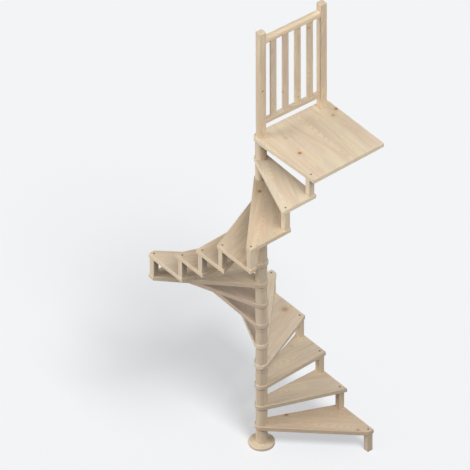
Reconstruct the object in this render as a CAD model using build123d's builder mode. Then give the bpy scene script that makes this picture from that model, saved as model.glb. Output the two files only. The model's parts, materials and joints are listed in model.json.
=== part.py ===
from build123d import *

import os
from math import asin, atan2, cos, degrees, hypot, radians, sin, sqrt

# Square wooden spiral stair: fourteen winder treads turning round a column to a
# square landing with a short balustrade.
#
# Millimetres, +Z up. The origin is on the floor, on the column's axis. The treads
# climb counter-clockwise seen from above, and the landing fills the quarter
# between +X and +Y.

# The climb: equal steps, each a sixteenth of a turn
RISER = 190.0
TREADS = 14
TURN = 22.5
FIRST_ANGLE = 45.0

# Column: turned spacers on a round foot disc
SPACER_RADIUS = 42.5
SPACER_EDGE = 2.0
FOOT_RADIUS = 95.0
FOOT_THICK = 24.0
FOOT_EDGE = 3.0

# Boards reach from the column's axis to the sides of a square
TREAD_REACH = 568.0
TREAD_THICK = 36.0
TREAD_CORNER = 7.0
LANDING_OVERHANG = 48.0
LANDING_THICK = 38.0
LANDING_CORNER = 4.0
BOARD_EDGE = 3.0

# A board stands out past the spacers by its hub, and past its posts by these
HUB_OVERHANG = 8.5
TREAD_END_OVERHANG = 5.0
TREAD_SIDE_OVERHANG = 12.0
LANDING_SIDE_OVERHANG = 1.0

# Square posts that carry each board's outer corner on the board below
POST_SIDE = 46.0
POST_EDGE = 2.0

# Sunk hole over each post for the screw that holds the board
SCREW_HOLE_RADIUS = 6.0
SCREW_HOLE_DEPTH = 9.0
LANDING_SCREW_SHIFT = 12.0

# Balustrade on the landing
NEWEL_SIDE = 54.0
NEWEL_HEIGHT = 950.0
NEWEL_EDGE = 3.0
FAR_POST_SETBACK = 50.0
HANDRAIL_WIDTH = 50.0
HANDRAIL_DEPTH = 56.0
HANDRAIL_ROUND = 20.0
HANDRAIL_DROP = 88.0
BOTTOM_RAIL_WIDTH = 38.0
BOTTOM_RAIL_DEPTH = 37.0
BOTTOM_RAIL_CLEAR = 106.0
BOTTOM_RAIL_EDGE = 2.0
BALUSTERS = 4
BALUSTER_WIDTH = 50.0
BALUSTER_THICK = 18.0
BALUSTER_EDGE = 1.5
HOUSING_DEPTH = 10.0

# Heights that follow from the climb
SPACER_GAP = RISER - TREAD_THICK
LANDING_UNDERSIDE = TREADS * RISER + SPACER_GAP
LANDING_TOP = LANDING_UNDERSIDE + LANDING_THICK

# Plan sizes that follow from the reach and the overhangs
HUB_RADIUS = SPACER_RADIUS + HUB_OVERHANG
LANDING_REACH = TREAD_REACH + LANDING_OVERHANG
POST_LINE = TREAD_REACH - TREAD_END_OVERHANG - POST_SIDE / 2
TREAD_MARGIN = POST_SIDE / 2 + TREAD_SIDE_OVERHANG
LANDING_MARGIN = NEWEL_SIDE / 2 + LANDING_SIDE_OVERHANG
NEWEL_SPACING = LANDING_REACH - FAR_POST_SETBACK - NEWEL_SIDE / 2

# The handrail's centre follows the posts' height
HANDRAIL_CENTRE = NEWEL_HEIGHT - HANDRAIL_DROP

os.makedirs("parts", exist_ok=True)


def save(piece, name):
    """Label a finished piece and write it as its own file."""
    piece.part.label = name
    export_step(piece.part, f"parts/{name}.step")


def post_centre(step):
    """Where the post under a board's front corner stands, on a square ring.

    Step 1 is the lowest tread, and the landing counts as the step after the last.
    """
    angle = radians(FIRST_ANGLE + TURN * (step - 1))
    reach = POST_LINE / max(abs(cos(angle)), abs(sin(angle)))
    return reach * cos(angle), reach * sin(angle)


def heading_vector(direction):
    return Vector(cos(direction), sin(direction))


def edge_line(post, side, margin):
    """One long edge of a board: it touches the hub and passes the post at the margin.

    side is -1 for the front edge and +1 for the rear one. Returns the point where
    it touches the hub and its direction in radians.
    """
    direction = atan2(post[1], post[0]) - side * asin((HUB_RADIUS - margin) / hypot(*post))
    return heading_vector(direction + side * radians(90)) * HUB_RADIUS, direction


def outer_corners(sketch):
    """The corners of a board's plan that lie away from the hub."""
    return [v for v in sketch.vertices() if hypot(v.X, v.Y) > 3 * HUB_RADIUS]


def rim_edges(part):
    """The edges round a piece's top and underside."""
    flat = part.faces().filter_by(Axis.Z).sort_by(Axis.Z)
    return flat[0].edges() + flat[-1].edges()


def make_board(front_post, rear_post, screw, reach, margin, underside, thickness, corner):
    """A winder board: two long edges joined round the hub, cut square at the far end."""
    front_touch, front_heading = edge_line(front_post, -1, margin)
    rear_touch, rear_heading = edge_line(rear_post, 1, margin)
    front_run = heading_vector(front_heading) * 2 * sqrt(2) * reach
    rear_run = heading_vector(rear_heading) * 2 * sqrt(2) * reach
    hub_back = (front_run + rear_run).normalized() * -HUB_RADIUS
    with BuildPart() as board:
        with BuildSketch(Plane.XY.offset(underside)) as plan:
            with BuildLine():
                Polyline(front_touch, front_touch + front_run, rear_touch + rear_run, rear_touch)
                ThreePointArc(rear_touch, hub_back, front_touch)
            make_face()
            Rectangle(2 * reach, 2 * reach, mode=Mode.INTERSECT)
            fillet(outer_corners(plan.sketch), corner)
        extrude(amount=thickness)
        chamfer(rim_edges(board.part), BOARD_EDGE)
        with Locations((*screw, underside + thickness)):
            Hole(SCREW_HOLE_RADIUS, SCREW_HOLE_DEPTH)
    return board


# Foot disc
with BuildPart() as base_disc:
    with BuildSketch():
        Circle(FOOT_RADIUS)
    extrude(amount=FOOT_THICK)
    chamfer(base_disc.faces().sort_by(Axis.Z)[-1].edges(), FOOT_EDGE)
save(base_disc, "base_disc")

# Turned spacers of the column, one below each board
with BuildPart() as column_spacers:
    for step in range(1, TREADS + 2):
        bottom = FOOT_THICK if step == 1 else (step - 1) * RISER
        with BuildSketch(Plane.XY.offset(bottom)):
            Circle(SPACER_RADIUS)
        extrude(amount=step * RISER - TREAD_THICK - bottom)
    chamfer(column_spacers.edges().filter_by(GeomType.CIRCLE), SPACER_EDGE)
save(column_spacers, "column_spacers")

# Winder treads
for step in range(1, TREADS + 1):
    front_post = post_centre(step)
    tread = make_board(
        front_post,
        post_centre(step + 1),
        screw=front_post,
        reach=TREAD_REACH,
        margin=TREAD_MARGIN,
        underside=step * RISER - TREAD_THICK,
        thickness=TREAD_THICK,
        corner=TREAD_CORNER,
    )
    save(tread, f"tread_{step:02d}")

# Landing board, whose rear edge carries the balustrade
landing_post = post_centre(TREADS + 1)
landing = make_board(
    landing_post,
    (0.0, POST_LINE),
    screw=(landing_post[0] + LANDING_SCREW_SHIFT, landing_post[1]),
    reach=LANDING_REACH,
    margin=LANDING_MARGIN,
    underside=LANDING_UNDERSIDE,
    thickness=LANDING_THICK,
    corner=LANDING_CORNER,
)
save(landing, "landing")

# Square posts: the first stands on the floor, each other one on the board below
for step in range(1, TREADS + 2):
    with BuildPart() as post:
        with BuildSketch(Plane.XY.offset((step - 1) * RISER)):
            with Locations(post_centre(step)):
                Rectangle(POST_SIDE, POST_SIDE)
        extrude(amount=SPACER_GAP)
        chamfer(post.edges().filter_by(Axis.Z), POST_EDGE)
    save(post, f"step_post_{step:02d}")

# The balustrade runs parallel to the landing's rear edge, out from the column
rail_lean = degrees(asin((HUB_RADIUS - LANDING_MARGIN) / POST_LINE))
rail_plane = Plane.XY.offset(LANDING_TOP).rotated((0, 0, -rail_lean))

for name, distance in (("newel_post", 0.0), ("far_post", NEWEL_SPACING)):
    with BuildPart() as newel:
        with BuildSketch(rail_plane):
            with Locations((0, distance)):
                Rectangle(NEWEL_SIDE, NEWEL_SIDE)
        extrude(amount=NEWEL_HEIGHT)
        chamfer(newel.edges().filter_by(Axis.Z), POST_EDGE)
        chamfer(newel.faces().sort_by(Axis.Z)[-1].edges(), NEWEL_EDGE)
    save(newel, name)

# Rails, drawn in section against the newel post and pushed out to the far post
rail_length = NEWEL_SPACING - NEWEL_SIDE
section_plane = Plane(
    origin=rail_plane.from_local_coords((0, NEWEL_SIDE / 2, 0)),
    x_dir=rail_plane.x_dir,
    z_dir=-rail_plane.y_dir,
)
baluster_places = [(0, NEWEL_SPACING * n / (BALUSTERS + 1)) for n in range(1, BALUSTERS + 1)]
handrail_underside = HANDRAIL_CENTRE - HANDRAIL_DEPTH / 2
bottom_rail_top = BOTTOM_RAIL_CLEAR + BOTTOM_RAIL_DEPTH

with BuildPart() as handrail:
    with BuildSketch(section_plane):
        with Locations((0, HANDRAIL_CENTRE)):
            RectangleRounded(HANDRAIL_WIDTH, HANDRAIL_DEPTH, HANDRAIL_ROUND)
    extrude(amount=-rail_length)
    with BuildSketch(rail_plane.offset(handrail_underside)):
        with Locations(*baluster_places):
            Rectangle(BALUSTER_THICK, BALUSTER_WIDTH)
    extrude(amount=HOUSING_DEPTH, mode=Mode.SUBTRACT)
save(handrail, "handrail")

with BuildPart() as bottom_rail:
    with BuildSketch(section_plane) as bottom_rail_section:
        with Locations((0, BOTTOM_RAIL_CLEAR + BOTTOM_RAIL_DEPTH / 2)):
            Rectangle(BOTTOM_RAIL_WIDTH, BOTTOM_RAIL_DEPTH)
        chamfer(bottom_rail_section.vertices(), BOTTOM_RAIL_EDGE)
    extrude(amount=-rail_length)
    with BuildSketch(rail_plane.offset(bottom_rail_top)):
        with Locations(*baluster_places):
            Rectangle(BALUSTER_THICK, BALUSTER_WIDTH)
    extrude(amount=-HOUSING_DEPTH, mode=Mode.SUBTRACT)
save(bottom_rail, "bottom_rail")

# Flat balusters, housed in both rails
baluster_bottom = bottom_rail_top - HOUSING_DEPTH
baluster_length = handrail_underside + HOUSING_DEPTH - baluster_bottom
for number, place in enumerate(baluster_places, start=1):
    with BuildPart() as baluster:
        with BuildSketch(rail_plane.offset(baluster_bottom)):
            with Locations(place):
                Rectangle(BALUSTER_THICK, BALUSTER_WIDTH)
        extrude(amount=baluster_length)
        chamfer(baluster.edges().filter_by(Axis.Z), BALUSTER_EDGE)
    save(baluster, f"baluster_{number}")
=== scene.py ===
"""Studio view of the square wooden spiral stair, finished as planed spruce."""
import json
import math
import random

import bmesh
import bpy
from mathutils import Matrix, Vector

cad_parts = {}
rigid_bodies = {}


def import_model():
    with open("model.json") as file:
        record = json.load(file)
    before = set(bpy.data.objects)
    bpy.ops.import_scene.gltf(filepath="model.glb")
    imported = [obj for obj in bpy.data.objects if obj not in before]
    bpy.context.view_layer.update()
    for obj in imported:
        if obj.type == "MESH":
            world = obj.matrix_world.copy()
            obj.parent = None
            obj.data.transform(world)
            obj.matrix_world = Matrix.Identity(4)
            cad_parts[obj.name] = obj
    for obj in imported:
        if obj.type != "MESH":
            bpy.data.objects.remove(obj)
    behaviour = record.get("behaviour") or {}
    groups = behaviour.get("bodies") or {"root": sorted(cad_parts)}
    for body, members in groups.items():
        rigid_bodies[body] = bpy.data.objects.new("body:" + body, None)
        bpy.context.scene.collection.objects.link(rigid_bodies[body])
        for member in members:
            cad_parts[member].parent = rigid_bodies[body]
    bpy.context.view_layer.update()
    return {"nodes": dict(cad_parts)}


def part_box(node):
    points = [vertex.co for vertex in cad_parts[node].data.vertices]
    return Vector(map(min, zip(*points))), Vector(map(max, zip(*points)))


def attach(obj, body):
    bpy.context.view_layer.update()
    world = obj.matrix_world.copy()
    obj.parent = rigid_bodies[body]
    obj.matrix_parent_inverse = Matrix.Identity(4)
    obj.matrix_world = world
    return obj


for leftover in list(bpy.data.objects):
    bpy.data.objects.remove(leftover)

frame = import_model()
nodes = frame["nodes"]

TREADS = 14
TURN = math.radians(22.5)
FIRST_ANGLE = math.radians(45.0)
BOARDS = [f"tread_{step:02d}" for step in range(1, TREADS + 1)] + ["landing"]
STEP_POSTS = [f"step_post_{step:02d}" for step in range(1, TREADS + 2)]
BALUSTERS = [name for name in sorted(nodes) if name.startswith("baluster")]
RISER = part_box("tread_02")[1].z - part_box("tread_01")[1].z

UP = Vector((0, 0, 1))


def middle(node):
    """The centre of a node's box."""
    low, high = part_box(node)
    return (low + high) / 2


def level(azimuth):
    """A level unit vector at this angle in radians from +X."""
    return Vector((math.cos(azimuth), math.sin(azimuth), 0))


# Camera: a very long lens, because the photograph has next to no perspective. The azimuth is that
# of the picture's right-hand side
CAMERA_AZIMUTH = math.radians(50.488)
CAMERA_ELEVATION = math.radians(39.970)
CAMERA_ROLL = math.radians(-0.186)
CAMERA_DISTANCE = 155.0
CAMERA_ACROSS = -0.1857
CAMERA_RISE = 1.4861
CAMERA_DEPTH = 1.1
VIEW_WIDTH = 3.3338
SENSOR_WIDTH = 36.0


def make_camera():
    """The photograph's view of the stair."""
    right = level(CAMERA_AZIMUTH)
    toward = level(CAMERA_AZIMUTH - math.pi / 2)
    back = toward * math.cos(CAMERA_ELEVATION) + UP * math.sin(CAMERA_ELEVATION)
    upward = back.cross(right)
    place = right * CAMERA_ACROSS + upward * CAMERA_RISE + back * (CAMERA_DEPTH + CAMERA_DISTANCE)
    rolled_right = right * math.cos(CAMERA_ROLL) + upward * math.sin(CAMERA_ROLL)
    rolled_up = upward * math.cos(CAMERA_ROLL) - right * math.sin(CAMERA_ROLL)
    data = bpy.data.cameras.new("camera")
    data.sensor_width = SENSOR_WIDTH
    data.lens = SENSOR_WIDTH * CAMERA_DISTANCE / VIEW_WIDTH
    data.clip_start = 1.0
    data.clip_end = 2 * CAMERA_DISTANCE
    camera = bpy.data.objects.new("camera", data)
    bpy.context.scene.collection.objects.link(camera)
    turn = Matrix((rolled_right, rolled_up, back)).transposed()
    camera.matrix_world = Matrix.Translation(place) @ turn.to_4x4()
    bpy.context.scene.camera = camera


# Lamps: a big key softbox at the front right, a low and a high fill on the left, and a dim sky.
# Their light on a level surface at the middle of the stair adds up to 1.
SOFTBOXES = {
    "key": {"azimuth": -5.0, "elevation": 48.0, "reach": 25.0, "share": 0.70},
    "low_fill": {"azimuth": -117.0, "elevation": 10.0, "reach": 15.0, "share": 0.59},
    "high_fill": {"azimuth": -125.0, "elevation": 54.0, "reach": 14.0, "share": 0.16},
}
LAMP_DISTANCE = 11.5
LAMP_TARGET = Vector((0.1, 0.1, 1.6))
# The floor has a far sun of its own, so it is even but for the shadow, which is half as deep as
# a real one: the rest of the floor's brightness is its own glow
FLOOR_SUN = {"azimuth": -9.0, "elevation": 57.0, "reach": 10.0, "share": 0.75}
SHADOW_DEPTH = 0.50
# The sky's strength at the horizon and overhead, and how much of the difference lights a level face
SKY_LOW = 0.10
SKY_HIGH = 0.32
SKY_SHARE = 2 / 3
BACKDROP = (0.896, 0.905, 0.922)
FLOOR_BOUNCE = 0.10
FLOOR_REACH = 120.0


def add_lamp(name, data, lamp, floor_only):
    """Places a lamp, and lets it light only the floor or all but the floor."""
    azimuth = math.radians(lamp["azimuth"])
    elevation = math.radians(lamp["elevation"])
    toward = level(azimuth) * math.cos(elevation) + UP * math.sin(elevation)
    obj = bpy.data.objects.new(name, data)
    obj.location = LAMP_TARGET + toward * LAMP_DISTANCE
    obj.rotation_mode = "QUATERNION"
    obj.rotation_quaternion = toward.to_track_quat("Z", "Y")
    obj.visible_camera = False
    bpy.context.scene.collection.objects.link(obj)
    receivers = bpy.data.collections.new(f"{name}_receivers")
    receivers.objects.link(bpy.data.objects["floor"])
    link = receivers.collection_objects[0].light_linking
    link.link_state = "INCLUDE" if floor_only else "EXCLUDE"
    obj.light_linking.receiver_collection = receivers


def make_lamps():
    """Softboxes for the stair, and a far sun for the floor."""
    for name, lamp in SOFTBOXES.items():
        box = bpy.data.lights.new(name, "AREA")
        box.shape = "DISK"
        radius = LAMP_DISTANCE * math.tan(math.radians(lamp["reach"]))
        box.size = 2 * radius
        box.energy = math.pi**2 * lamp["share"] * (radius**2 + LAMP_DISTANCE**2)
        add_lamp(name, box, lamp, floor_only=False)
    sun = bpy.data.lights.new("floor_sun", "SUN")
    sun.angle = math.radians(2 * FLOOR_SUN["reach"])
    sun.energy = math.pi * FLOOR_SUN["share"]
    add_lamp("floor_sun", sun, FLOOR_SUN, floor_only=True)


class Tree:
    """Short ways to add shader nodes and join them."""

    def __init__(self, tree):
        self.tree = tree

    def add(self, kind, **settings):
        """A new node with these settings."""
        node = self.tree.nodes.new(kind)
        for key, value in settings.items():
            setattr(node, key, value)
        return node

    def feed(self, socket, value):
        """Link an output into a socket, or set the socket to a plain value."""
        if isinstance(value, bpy.types.NodeSocket):
            self.tree.links.new(value, socket)
        else:
            socket.default_value = value

    def math(self, operation, *values):
        """The result of an operation on numbers."""
        node = self.add("ShaderNodeMath", operation=operation)
        for socket, value in zip(node.inputs, values):
            self.feed(socket, value)
        return node.outputs[0]

    def vector(self, operation, *values):
        """The result of an operation on vectors: a number for a length or a dot product."""
        node = self.add("ShaderNodeVectorMath", operation=operation)
        for socket, value in zip(node.inputs, values):
            self.feed(socket, value)
        return node.outputs["Value"] if operation in ("LENGTH", "DOT_PRODUCT") else node.outputs[0]

    def scale(self, vector, factor):
        """A vector or colour times a number."""
        node = self.add("ShaderNodeVectorMath", operation="SCALE")
        self.feed(node.inputs[0], vector)
        self.feed(node.inputs["Scale"], factor)
        return node.outputs[0]

    def smooth(self, value, low, high, start=0.0, end=1.0):
        """A soft step from start at low to end at high."""
        node = self.add("ShaderNodeMapRange", interpolation_type="SMOOTHSTEP")
        for name, number in (("From Min", low), ("From Max", high), ("To Min", start), ("To Max", end)):
            node.inputs[name].default_value = number
        self.feed(node.inputs["Value"], value)
        return node.outputs["Result"]

    def mix(self, factor, first, second, blend="MIX"):
        """Two colours, mixed or multiplied by a factor."""
        node = self.add("ShaderNodeMix", data_type="RGBA", blend_type=blend)
        for name, value in (("Factor_Float", factor), ("A_Color", first), ("B_Color", second)):
            socket = next(s for s in node.inputs if s.identifier == name)
            ready = isinstance(value, (bpy.types.NodeSocket, float))
            self.feed(socket, value if ready else (*value, 1.0))
        return next(s for s in node.outputs if s.identifier == "Result_Color")

    def noise(self, vector, scale, detail, output="Fac"):
        """Noise at this scale, as a number or a colour."""
        node = self.add("ShaderNodeTexNoise")
        self.feed(node.inputs["Vector"], vector)
        node.inputs["Scale"].default_value = scale
        node.inputs["Detail"].default_value = detail
        return node.outputs[output]

    def split(self, vector):
        """The three numbers of a vector."""
        node = self.add("ShaderNodeSeparateXYZ")
        self.feed(node.inputs[0], vector)
        return node.outputs

    def join(self, x, y, z):
        """A vector of three numbers."""
        node = self.add("ShaderNodeCombineXYZ")
        for socket, value in zip(node.inputs, (x, y, z)):
            self.feed(socket, value)
        return node.outputs[0]


def new_material(name):
    """An empty node material and its output node."""
    material = bpy.data.materials.new(name)
    material.use_nodes = True
    material.node_tree.nodes.clear()
    tree = Tree(material.node_tree)
    return material, tree, tree.add("ShaderNodeOutputMaterial")


def new_group(name, inputs, outputs):
    """A node group with these sockets, given as name and kind."""
    group = bpy.data.node_groups.new(name, "ShaderNodeTree")
    for label, kind in inputs:
        group.interface.new_socket(label, in_out="INPUT", socket_type=kind)
    for label, kind in outputs:
        group.interface.new_socket(label, in_out="OUTPUT", socket_type=kind)
    tree = Tree(group)
    return group, tree, tree.add("NodeGroupInput").outputs, tree.add("NodeGroupOutput").inputs


def seen_directly(tree):
    """1 for rays from the camera, a reflection or through glass, and 0 for light."""
    path = tree.add("ShaderNodeLightPath")
    seen = tree.math("MAXIMUM", path.outputs["Is Camera Ray"], path.outputs["Is Glossy Ray"])
    return tree.math("MAXIMUM", seen, path.outputs["Is Transmission Ray"])


def make_world():
    """A dim sky, stronger overhead, for the light, and the pale backdrop for the eye."""
    world = bpy.data.worlds.new("studio")
    world.use_nodes = True
    world.node_tree.nodes.clear()
    tree = Tree(world.node_tree)
    sky = tree.add("ShaderNodeBackground")
    sky.inputs["Color"].default_value = (1, 1, 1, 1)
    height = tree.split(tree.add("ShaderNodeTexCoord").outputs["Generated"])[2]
    strength = tree.add("ShaderNodeMapRange")
    tree.feed(strength.inputs["Value"], height)
    strength.inputs["To Min"].default_value = SKY_LOW
    strength.inputs["To Max"].default_value = SKY_HIGH
    tree.feed(sky.inputs["Strength"], strength.outputs["Result"])
    backdrop = tree.add("ShaderNodeBackground")
    backdrop.inputs["Color"].default_value = (*BACKDROP, 1)
    blend = tree.add("ShaderNodeMixShader")
    tree.feed(blend.inputs[0], seen_directly(tree))
    tree.feed(blend.inputs[1], sky.outputs[0])
    tree.feed(blend.inputs[2], backdrop.outputs[0])
    output = tree.add("ShaderNodeOutputWorld")
    tree.feed(output.inputs[0], blend.outputs[0])
    bpy.context.scene.world = world


def make_floor():
    """A pale floor that takes the shadow but throws little light back up."""
    material, tree, output = new_material("studio_floor")
    lit = tree.add("ShaderNodeBsdfDiffuse")
    lit.inputs["Color"].default_value = (*[SHADOW_DEPTH * part for part in BACKDROP], 1)
    glow = tree.add("ShaderNodeEmission")
    glow.inputs["Color"].default_value = (*BACKDROP, 1)
    sky_light = SKY_LOW + (SKY_HIGH - SKY_LOW) * SKY_SHARE
    sun_light = FLOOR_SUN["share"] * math.sin(math.radians(FLOOR_SUN["elevation"]))
    glow.inputs["Strength"].default_value = 1 - SHADOW_DEPTH * (sky_light + sun_light)
    seen = tree.add("ShaderNodeAddShader")
    tree.feed(seen.inputs[0], lit.outputs[0])
    tree.feed(seen.inputs[1], glow.outputs[0])
    lighting = tree.add("ShaderNodeBsdfDiffuse")
    lighting.inputs["Color"].default_value = (FLOOR_BOUNCE, FLOOR_BOUNCE, FLOOR_BOUNCE, 1)
    blend = tree.add("ShaderNodeMixShader")
    tree.feed(blend.inputs[0], seen_directly(tree))
    tree.feed(blend.inputs[1], lighting.outputs[0])
    tree.feed(blend.inputs[2], seen.outputs[0])
    tree.feed(output.inputs[0], blend.outputs[0])
    mesh = bpy.data.meshes.new("floor")
    corners = [(-1, -1), (1, -1), (1, 1), (-1, 1)]
    mesh.from_pydata([(x * FLOOR_REACH, y * FLOOR_REACH, 0) for x, y in corners], [], [(0, 1, 2, 3)])
    floor = bpy.data.objects.new("floor", mesh)
    bpy.context.scene.collection.objects.link(floor)
    mesh.materials.append(material)


# Spruce: pale early wood, browner late wood, rose-brown bands and knots
EARLY_WOOD = (0.704, 0.588, 0.445)
LATE_WOOD = (0.498, 0.356, 0.240)
ROSE_WOOD = (0.616, 0.456, 0.328)
STRAW_WOOD = (0.752, 0.626, 0.452)
SAWN_WOOD = (0.820, 0.700, 0.520)
KNOT_WOOD = (0.300, 0.145, 0.070)
HALO_WOOD = (0.640, 0.400, 0.200)
# Dark glue seams and ring joints, and painted shade under the hubs and round the screw holes
JOINT_SHADE_WOOD = (0.270, 0.190, 0.130)
# Where streaks and bands turn the wood straw or rose, how strongly late wood shows between weak
# and strong streaks, and how far knots, their halos and sawn ends cover the wood under them
STRAW_RANGE = (0.42, 0.62)
ROSE_RANGE = (0.42, 0.64)
ROSE_SHARE = 0.60
BAND_SHARE = 0.55
LATE_RANGE = (0.35, 0.70)
LATE_SHARE = (0.10, 0.50)
HALO_SHARE = 0.65
CORE_SHARE = 0.95
END_SHARE = 0.35
# How squarely a face crosses the grain, as a cosine, before it counts as a sawn end
END_FACING = (0.6, 0.9)
# How far fibres, streaks and a stave's luck move the tone
FIBRE_TONE = 0.12
STREAK_TONE = 0.20
STAVE_TONE = 0.06
# Roughness, how much smoother late wood is, and how far the fibres change it
ROUGHNESS = 0.60
LATE_POLISH = -0.08
FIBRE_ROUGH = 0.12
# Heights for the bump, as parts of its distance in metres
LATE_HEIGHT = 0.35
FIBRE_HEIGHT = 0.50
JOINT_SHADE_HEIGHT = -0.80
CORE_HEIGHT = -0.40
BUMP_STRENGTH = 0.5
BUMP_DISTANCE = 0.0003
SPECULAR = 0.35
# Yearly rings, in metres, with the part of a year in which late wood grows and ends
RING_WIDTH = 0.0038
LATE_START = (0.30, 0.88)
LATE_END = (0.90, 1.00)
RING_DRIFT = 0.02
YEAR_NOISE = 70.0
BAND_NOISE = 52.0
# How far the grain wanders in metres, and how often its figures repeat in a metre of grain and
# across it
BEND = 0.016
BEND_REPEATS = (2.2, 7.0, 7.0)
FIBRE_REPEATS = (9.0, 700.0, 700.0)
STREAK_REPEATS = (2.5, 42.0, 42.0)
CLOUD_REPEATS = (5.0, 14.0, 14.0)
# How far apart in the log two staves may come from, and where its heart lies below a piece
STAVE_SHIFT = Vector((7.0, 0.05, 0.04))
CELL_STEP = 17.3
BOARD_LEAN = 0.20
POST_LEAN = 0.05
HEART_ASIDE = 0.02
HEART_BELOW = (0.05, 0.09)
# A knot, in its own radii: its ragged edge, where its core and halo fade, and its push on the rings
KNOT_NOISE = 130.0
KNOT_RAGGED = 0.70
KNOT_CORE = (0.4, 1.2)
KNOT_HALO = (0.7, 2.3)
KNOT_FADE = -0.22
KNOT_PUSH = 0.9
# Glue lines between staves, and the dark rim round a screw hole, painted shade that widens the hole's
# dark
SEAM_HALF = 0.0003
SEAM_DARK = 0.30
RIM_FADE = (0.0068, 0.0086)
RIM_SHADE = 0.85
# Column: how far below a hub its dark line starts and is full, painted shade under the hub's overhang,
# and the joints of two loose rings
HUB_SHADE_LINE = (0.0125, 0.01125)
HUB_SHADE_DARK = 0.60
RING_JOINTS = (0.026, 0.041)
RING_HALF = (0.0010, 0.0022)
RING_DARK = 0.65
RINGS_ABOVE = 2.0
BOARD_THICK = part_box("tread_01")[1].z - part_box("tread_01")[0].z


def make_knot_group():
    """How near a point is to one knot: its dark core, its halo and its push on the rings."""
    group, tree, given, result = new_group(
        "knot",
        [("Place", "NodeSocketVector"), ("Centre", "NodeSocketVector"), ("Shrink", "NodeSocketVector"),
         ("Push", "NodeSocketFloat"), ("Depth", "NodeSocketFloat")],
        [("Core", "NodeSocketFloat"), ("Halo", "NodeSocketFloat"), ("Swirl", "NodeSocketFloat")],
    )
    ragged = tree.noise(given["Place"], KNOT_NOISE, 2.0)
    edge = tree.math("MULTIPLY_ADD", ragged, KNOT_RAGGED, -KNOT_RAGGED / 2)
    offset = tree.vector("SUBTRACT", given["Place"], given["Centre"])
    distance = tree.vector("LENGTH", tree.vector("MULTIPLY", offset, given["Shrink"]))
    reach = tree.math("ADD", distance, edge)
    core = tree.smooth(reach, *KNOT_CORE, 1.0, 0.0)
    halo = tree.smooth(reach, *KNOT_HALO, 1.0, 0.0)
    tree.feed(result["Core"], tree.math("MULTIPLY", core, given["Depth"]))
    tree.feed(result["Halo"], tree.math("MULTIPLY", halo, given["Depth"]))
    fade = tree.math("MULTIPLY", tree.math("MULTIPLY", reach, reach), KNOT_FADE)
    near = tree.math("POWER", math.e, fade)
    tree.feed(result["Swirl"], tree.math("MULTIPLY", near, given["Push"]))
    return group


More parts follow.
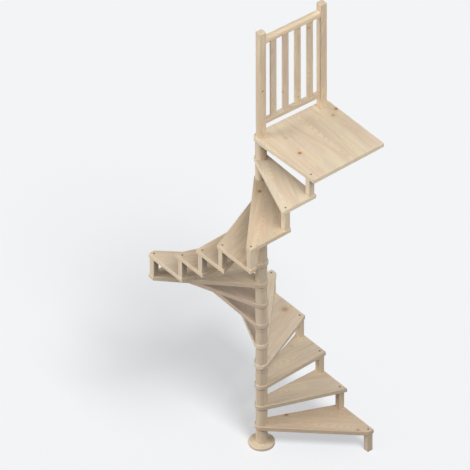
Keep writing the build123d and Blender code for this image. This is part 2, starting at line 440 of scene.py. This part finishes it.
def make_wood_group():
    """Solid spruce in a plank's own space: X along the grain, the rings round a leaning heart."""
    group, tree, given, result = new_group(
        "spruce",
        [("Place", "NodeSocketVector"), ("Cell", "NodeSocketFloat"), ("Heart", "NodeSocketVector"),
         ("Core", "NodeSocketFloat"), ("Halo", "NodeSocketFloat"), ("Swirl", "NodeSocketFloat"),
         ("JointsAndShade", "NodeSocketFloat"), ("End", "NodeSocketFloat"), ("Tint", "NodeSocketColor")],
        [("Color", "NodeSocketColor"), ("Roughness", "NodeSocketFloat"), ("Height", "NodeSocketFloat")],
    )
    chance = tree.add("ShaderNodeTexWhiteNoise", noise_dimensions="1D")
    tree.feed(chance.inputs["W"], given["Cell"])
    luck = tree.split(chance.outputs["Color"])
    shift = tree.vector("MULTIPLY_ADD", chance.outputs["Color"], STAVE_SHIFT, -STAVE_SHIFT / 2)
    place = tree.vector("ADD", given["Place"], shift)
    drift = tree.noise(tree.vector("MULTIPLY", place, BEND_REPEATS), 1.0, 2.0, "Color")
    bend = tree.vector("MULTIPLY_ADD", drift, (0, 2 * BEND, 2 * BEND), (0, -BEND, -BEND))
    bent = tree.vector("ADD", place, bend)
    heart = tree.split(given["Heart"])
    run = tree.split(given["Place"])[0]
    slope = tree.math("SUBTRACT", luck[0], 0.5)
    lean = tree.math("MULTIPLY", tree.math("MULTIPLY", run, heart[0]), slope)
    spot = tree.split(bent)
    across = tree.math("SUBTRACT", spot[1], heart[1])
    above = tree.math("ADD", tree.math("SUBTRACT", spot[2], heart[2]), lean)
    distance = tree.vector("LENGTH", tree.join(0.0, across, above))
    radius = tree.math("SUBTRACT", distance, given["Swirl"])
    ring_line = tree.join(radius, tree.math("MULTIPLY", run, RING_DRIFT), chance.outputs["Value"])
    uneven = tree.noise(ring_line, YEAR_NOISE, 1.0)
    years = tree.math("ADD", tree.math("DIVIDE", radius, RING_WIDTH), uneven)
    season = tree.math("FRACT", years)
    ending = tree.smooth(season, *LATE_END, 1.0, 0.0)
    late = tree.math("MULTIPLY", tree.smooth(season, *LATE_START), ending)
    band = tree.noise(ring_line, BAND_NOISE, 2.0)
    fibre = tree.noise(tree.vector("MULTIPLY", place, FIBRE_REPEATS), 1.0, 2.0)
    streak = tree.noise(tree.vector("MULTIPLY", bent, STREAK_REPEATS), 1.0, 3.0)
    cloud = tree.noise(tree.vector("MULTIPLY", place, CLOUD_REPEATS), 1.0, 2.0)

    ground = tree.mix(tree.smooth(cloud, *STRAW_RANGE), EARLY_WOOD, STRAW_WOOD)
    streaked = tree.math("MULTIPLY", streak, 1 - BAND_SHARE)
    blush = tree.math("ADD", tree.math("MULTIPLY", band, BAND_SHARE), streaked)
    pale = tree.mix(tree.smooth(blush, *ROSE_RANGE, 0.0, ROSE_SHARE), ground, ROSE_WOOD)
    strength = tree.smooth(streak, *LATE_RANGE, *LATE_SHARE)
    lined = tree.mix(tree.math("MULTIPLY", late, strength), pale, LATE_WOOD)
    haloed = tree.mix(tree.math("MULTIPLY", given["Halo"], HALO_SHARE), lined, HALO_WOOD)
    knotted = tree.mix(tree.math("MULTIPLY", given["Core"], CORE_SHARE), haloed, KNOT_WOOD)
    joint_shaded = tree.mix(given["JointsAndShade"], knotted, JOINT_SHADE_WOOD)
    ended = tree.mix(tree.math("MULTIPLY", given["End"], END_SHARE), joint_shaded, SAWN_WOOD)
    tinted = tree.mix(1.0, ended, given["Tint"], "MULTIPLY")
    fibre_tone = tree.math("MULTIPLY_ADD", fibre, FIBRE_TONE, 1 - FIBRE_TONE / 2)
    streak_tone = tree.math("MULTIPLY_ADD", streak, STREAK_TONE, -STREAK_TONE / 2)
    stave_tone = tree.math("MULTIPLY_ADD", luck[2], STAVE_TONE, -STAVE_TONE / 2)
    tone = tree.math("ADD", tree.math("ADD", fibre_tone, streak_tone), stave_tone)
    tree.feed(result["Color"], tree.scale(tinted, tone))
    polish = tree.math("MULTIPLY_ADD", late, LATE_POLISH, ROUGHNESS)
    nap = tree.math("MULTIPLY_ADD", fibre, FIBRE_ROUGH, -FIBRE_ROUGH / 2)
    tree.feed(result["Roughness"], tree.math("ADD", polish, nap))
    rings = tree.math("MULTIPLY", late, LATE_HEIGHT)
    raised = tree.math("ADD", rings, tree.math("MULTIPLY", fibre, FIBRE_HEIGHT))
    shrunk = tree.math("MULTIPLY", given["Core"], CORE_HEIGHT)
    sunk = tree.math("ADD", tree.math("MULTIPLY", given["JointsAndShade"], JOINT_SHADE_HEIGHT), shrunk)
    tree.feed(result["Height"], tree.math("ADD", raised, sunk))
    return group


KNOT_GROUP = make_knot_group()
WOOD_GROUP = make_wood_group()

PLAIN = (1.0, 1.0, 1.0)
LIGHT = (1.03, 1.045, 1.04)
PALE = (1.05, 1.08, 1.11)
BRIGHT = (1.11, 1.12, 1.08)
ROSY = (0.91, 0.88, 0.92)
GREY = (0.91, 0.925, 0.945)
BROWN = (0.93, 0.90, 0.875)
HONEY = (0.98, 0.955, 0.92)
FAWN = (0.94, 0.945, 0.92)
# A darker tint: painted shade on the bottom rail, which lies between the balusters under the handrail
SHADE_TINT = (0.84, 0.83, 0.84)


class Wood:
    """How a piece was cut: its own axes, its tint, its knots and its screw hole.

    stave is the width of its glued staves, and stack the rise of spacers that are stacked.
    """

    def __init__(self, name, origin, along, up, seed, stave=None, stack=None):
        self.name = name
        self.origin = origin
        self.along = along.normalized()
        self.up = up.normalized()
        self.seed = seed
        self.stave = stave
        self.stack = stack
        self.tint = TINTS.get(name, PLAIN)
        self.knots = KNOTS.get(name, ())
        self.screw = SCREWS.get(name)

    def turn(self):
        """The rotation whose columns are the piece's own axes."""
        return Matrix((self.along, self.up.cross(self.along), self.up)).transposed()

    def knot_sockets(self, tree, place):
        """The three knot fields, taken together over all of the piece's knots."""
        core, halo, swirl = 0.0, 0.0, 0.0
        back = self.turn().transposed()
        for point, through, size, depth in self.knots:
            run = back @ Vector(through)
            shrink = [0.0 if abs(part) > 0.7 else 1.0 / size for part in run]
            knot = tree.add("ShaderNodeGroup", node_tree=KNOT_GROUP)
            tree.feed(knot.inputs["Place"], place)
            knot.inputs["Centre"].default_value = back @ (Vector(point) - self.origin)
            knot.inputs["Shrink"].default_value = shrink
            knot.inputs["Push"].default_value = size * KNOT_PUSH
            knot.inputs["Depth"].default_value = depth
            core = tree.math("MAXIMUM", core, knot.outputs["Core"])
            halo = tree.math("MAXIMUM", halo, knot.outputs["Halo"])
            swirl = tree.math("ADD", swirl, knot.outputs["Swirl"])
        return core, halo, swirl

    def screw_rim_shade(self, tree, place):
        """The dark rim round the screw hole, painted shade."""
        centre = self.turn().transposed() @ (self.screw - self.origin)
        offset = tree.vector("MULTIPLY", tree.vector("SUBTRACT", place, centre), (1, 1, 0))
        return tree.smooth(tree.vector("LENGTH", offset), *RIM_FADE, RIM_SHADE, 0.0)

    def joints(self, tree, row):
        """The painted shade under each hub, and two ring joints on every second spacer from the fourth.
        """
        height = tree.math("MULTIPLY", tree.math("FRACT", row), self.stack)
        under = self.stack - BOARD_THICK
        start, full = [under - drop for drop in HUB_SHADE_LINE]
        shade_and_joints = tree.smooth(height, start, full, 0.0, HUB_SHADE_DARK)
        second = tree.math("MODULO", tree.math("FLOOR", row), 2.0)
        above = tree.math("GREATER_THAN", row, RINGS_ABOVE)
        ringed = tree.math("MULTIPLY", tree.math("MULTIPLY", second, RING_DARK), above)
        for drop in RING_JOINTS:
            gap = tree.math("ABSOLUTE", tree.math("SUBTRACT", height, under - drop))
            ring = tree.smooth(gap, *RING_HALF, 1.0, 0.0)
            shade_and_joints = tree.math("MAXIMUM", shade_and_joints, tree.math("MULTIPLY", ring, ringed))
        return shade_and_joints

    def plank(self, tree, place):
        """The place in its own stave or spacer, that one's number, and how dark its lines and painted
        shade are.
        """
        if not self.stave and not self.stack:
            return place, float(self.seed), 0.0
        axis, width = (1, self.stave) if self.stave else (0, self.stack)
        axes = tree.split(place)
        row = tree.math("DIVIDE", axes[axis], width)
        cell = tree.math("ADD", tree.math("FLOOR", row), self.seed * CELL_STEP)
        if self.stack:
            return place, cell, self.joints(tree, row)
        inner = tree.math("MULTIPLY", tree.math("SUBTRACT", tree.math("FRACT", row), 0.5), width)
        gap = tree.math("MULTIPLY", tree.math("PINGPONG", row, 0.5), width)
        seam = tree.smooth(gap, SEAM_HALF / 2, SEAM_HALF, SEAM_DARK, 0.0)
        return tree.join(axes[0], inner, axes[2]), cell, seam

    def material(self):
        """The finished material of the piece."""
        chance = random.Random(self.seed)
        material, tree, output = new_material(f"spruce_{self.name}")
        spot = tree.add("ShaderNodeTexCoord").outputs["Object"]
        mapping = tree.add("ShaderNodeMapping", vector_type="TEXTURE")
        tree.feed(mapping.inputs["Vector"], spot)
        mapping.inputs["Location"].default_value = self.origin
        mapping.inputs["Rotation"].default_value = self.turn().to_euler()
        place = mapping.outputs[0]
        # Dark seams and joints, and painted shade under the hubs
        inner, cell, darkening = self.plank(tree, place)
        # The rim round the screw hole is darkened with painted shade
        if self.screw:
            darkening = tree.math("MAXIMUM", darkening, self.screw_rim_shade(tree, place))
        wood = tree.add("ShaderNodeGroup", node_tree=WOOD_GROUP)
        core, halo, swirl = self.knot_sockets(tree, place)
        normal = tree.add("ShaderNodeNewGeometry").outputs["True Normal"]
        facing = tree.math("ABSOLUTE", tree.vector("DOT_PRODUCT", normal, self.along))
        lean = BOARD_LEAN if self.stave else POST_LEAN
        aside = chance.uniform(-HEART_ASIDE, HEART_ASIDE)
        below = chance.uniform(*HEART_BELOW)
        given = {
            "Place": inner,
            "Cell": cell,
            "Heart": (lean, aside, -below),
            "Core": core,
            "Halo": halo,
            "Swirl": swirl,
            "JointsAndShade": darkening,
            "End": tree.smooth(facing, *END_FACING),
            "Tint": (*self.tint, 1.0),
        }
        for label, value in given.items():
            tree.feed(wood.inputs[label], value)
        bump = tree.add("ShaderNodeBump")
        bump.inputs["Strength"].default_value = BUMP_STRENGTH
        bump.inputs["Distance"].default_value = BUMP_DISTANCE
        tree.feed(bump.inputs["Height"], wood.outputs["Height"])
        surface = tree.add("ShaderNodeBsdfPrincipled")
        surface.inputs["Specular IOR Level"].default_value = SPECULAR
        tree.feed(surface.inputs["Base Color"], wood.outputs["Color"])
        tree.feed(surface.inputs["Roughness"], wood.outputs["Roughness"])
        tree.feed(surface.inputs["Normal"], bump.outputs[0])
        tree.feed(output.inputs[0], surface.outputs[0])
        return material


# Tints that stand out in the photograph; the rest are plain
TINTS = {
    "landing": LIGHT,
    "tread_01": BROWN,
    "tread_02": GREY,
    "tread_03": GREY,
    "tread_04": PALE,
    "tread_05": PALE,
    # tread_06 and tread_07 lie deep under the treads above: their darker, rosier tint is painted shade
    "tread_06": ROSY,
    "tread_07": ROSY,
    "tread_10": BROWN,
    "tread_11": HONEY,
    "tread_12": HONEY,
    "tread_13": HONEY,
    "tread_14": PALE,
    "step_post_02": BROWN,
    "baluster_1": GREY,
    "baluster_2": ROSY,
    "baluster_3": FAWN,
    "baluster_4": FAWN,
    "newel_post": FAWN,
    "far_post": BROWN,
    "handrail": BRIGHT,
    "bottom_rail": SHADE_TINT,
    "base_disc": LIGHT,
}

# Knots where the photograph shows them, in metres: place, the way each runs, radius and how dark
KNOTS = {
    "landing": [((0.322, 0.089, 2.85), UP, 0.014, 1.0), ((0.151, 0.539, 2.85), UP, 0.015, 0.5),
                ((0.131, 0.120, 2.85), UP, 0.014, 0.25), ((0.110, 0.598, 2.85), UP, 0.016, 0.8)],
    "tread_13": [((0.112, -0.106, 2.47), UP, 0.015, 0.9)],
    "tread_04": [((-0.341, 0.497, 0.76), UP, 0.028, 0.50)],
    "tread_01": [((0.501, 0.477, 0.19), UP, 0.013, 0.45), ((0.042, 0.192, 0.19), UP, 0.016, 0.9)],
    "tread_03": [((-0.169, 0.418, 0.57), UP, 0.012, 0.25)],
    "tread_08": [((-0.154, -0.142, 1.48), Vector((0.7, -0.7, 0)), 0.008, 0.8)],
    "newel_post": [((0.027, -0.004, 3.278), Vector((1, 0, 0)), 0.008, 0.9)],
    "baluster_2": [((0.018, 0.188, 3.16), Vector((1, 0, 0)), 0.007, 0.6)],
    "baluster_3": [((0.020, 0.321, 3.052), Vector((1, 0, 0)), 0.006, 0.6)],
    "baluster_4": [((0.027, 0.418, 3.635), Vector((1, 0, 0)), 0.009, 0.8)],
}
# Each board is screwed down over its post, the landing a little to one side of it
LANDING_SCREW_SHIFT = Vector((0.012, 0, 0))
SCREWS = {name: middle(post) for name, post in zip(BOARDS, STEP_POSTS)}
SCREWS["landing"] += LANDING_SCREW_SHIFT
# A board's grain runs this far off its middle line, and its glued staves are this wide
GRAIN_LEAN = math.radians(1.2)
STAVE_WIDTH = 0.118
# First seed of each kind of piece
POST_SEED = 40
GUARD_SEED = 60
RAIL_SEED = 70
SPACER_SEED = 80
DISC_SEED = 90


def plan_woods():
    """How the wood of each piece lies."""
    ahead = Vector((1, 0, 0))
    woods = []
    for step, name in enumerate(BOARDS, start=1):
        along = level(FIRST_ANGLE + TURN * (step - 1) - GRAIN_LEAN)
        origin = Vector((0, 0, middle(name).z))
        woods.append(Wood(name, origin, along, UP, seed=step, stave=STAVE_WIDTH))
    for step, name in enumerate(STEP_POSTS, start=1):
        woods.append(Wood(name, middle(name), UP, ahead, seed=POST_SEED + step))
    reach = middle("far_post") - middle("newel_post")
    run = Vector((reach.x, reach.y, 0)).normalized()
    side = run.cross(UP)
    for place, name in enumerate(["newel_post", "far_post", *BALUSTERS]):
        woods.append(Wood(name, middle(name), UP, side, seed=GUARD_SEED + place))
    for place, name in enumerate(["handrail", "bottom_rail"]):
        woods.append(Wood(name, middle(name), run, UP, seed=RAIL_SEED + place))
    foot = Vector((0, 0, 0))
    woods.append(Wood("column_spacers", foot, UP, ahead, seed=SPACER_SEED, stack=RISER))
    woods.append(Wood("base_disc", middle("base_disc"), ahead, UP, seed=DISC_SEED))
    return woods


def dress_frame():
    """Gives every node its own wood."""
    for wood in plan_woods():
        slots = nodes[wood.name].data.materials
        slots.clear()
        slots.append(wood.material())


# Countersunk screws, each standing on the bottom of its hole just under the board's face
SCREW_SIDES = 36
SCREW_REST = 0.0089
# Rings of the head from its foot to the bottom of the star recess: radius, lobes, height
SCREW_RINGS = [(0.0024, 0.0, 0.0), (0.0057, 0.0, 0.0058), (0.0057, 0.0, 0.0066), (0.0050, 0.0, 0.0072),
               (0.0038, 0.0, 0.0076), (0.0028, 0.0, 0.0077), (0.0021, 0.0004, 0.0077),
               (0.0019, 0.0004, 0.0056)]
STAR_POINTS = 6
STEEL = (0.09, 0.085, 0.08)
STEEL_STAIN = (0.05, 0.04, 0.035)
STEEL_NOISE = 900.0
STAIN_RANGE = (0.35, 0.70)
ROUGH_RANGE = (0.30, 0.70)
STEEL_ROUGH = (0.35, 0.55)


def add_screw(mesh, place):
    """A countersunk screw head with a star recess, its foot at this place."""
    rings = []
    for radius, lobe, height in SCREW_RINGS:
        ring = []
        for side in range(SCREW_SIDES):
            angle = 2 * math.pi * side / SCREW_SIDES
            reach = radius + lobe * math.cos(STAR_POINTS * angle)
            ring.append(mesh.verts.new(place + level(angle) * reach + UP * height))
        rings.append(ring)
    for outer, inner in zip(rings, rings[1:]):
        for side in range(SCREW_SIDES):
            after = (side + 1) % SCREW_SIDES
            mesh.faces.new((outer[side], outer[after], inner[after], inner[side]))
    mesh.faces.new(rings[-1])
    mesh.faces.new(list(reversed(rings[0])))


def make_steel():
    """Blackened steel with faint stains."""
    material, tree, output = new_material("screw_steel")
    spot = tree.add("ShaderNodeTexCoord").outputs["Object"]
    darkening = tree.noise(spot, STEEL_NOISE, 3.0)
    surface = tree.add("ShaderNodeBsdfPrincipled")
    surface.inputs["Metallic"].default_value = 1.0
    dark = tree.mix(tree.smooth(darkening, *STAIN_RANGE), STEEL, STEEL_STAIN)
    tree.feed(surface.inputs["Base Color"], dark)
    tree.feed(surface.inputs["Roughness"], tree.smooth(darkening, *ROUGH_RANGE, *STEEL_ROUGH))
    tree.feed(output.inputs[0], surface.outputs[0])
    return material


def make_screws():
    """One screw in the sunk hole of each board."""
    steel = make_steel()
    for step, name in enumerate(BOARDS, start=1):
        place = SCREWS[name].copy()
        place.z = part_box(name)[1].z - SCREW_REST
        mesh = bmesh.new()
        add_screw(mesh, place)
        data = bpy.data.meshes.new(f"screw_{step:02d}")
        mesh.to_mesh(data)
        mesh.free()
        data.materials.append(steel)
        for face in data.polygons:
            face.use_smooth = True
        screw = bpy.data.objects.new(f"screw_{step:02d}", data)
        bpy.context.scene.collection.objects.link(screw)
        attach(screw, "root")


make_camera()
make_world()
make_floor()
make_lamps()
dress_frame()
make_screws()
bpy.context.scene.view_settings.view_transform = "Standard"
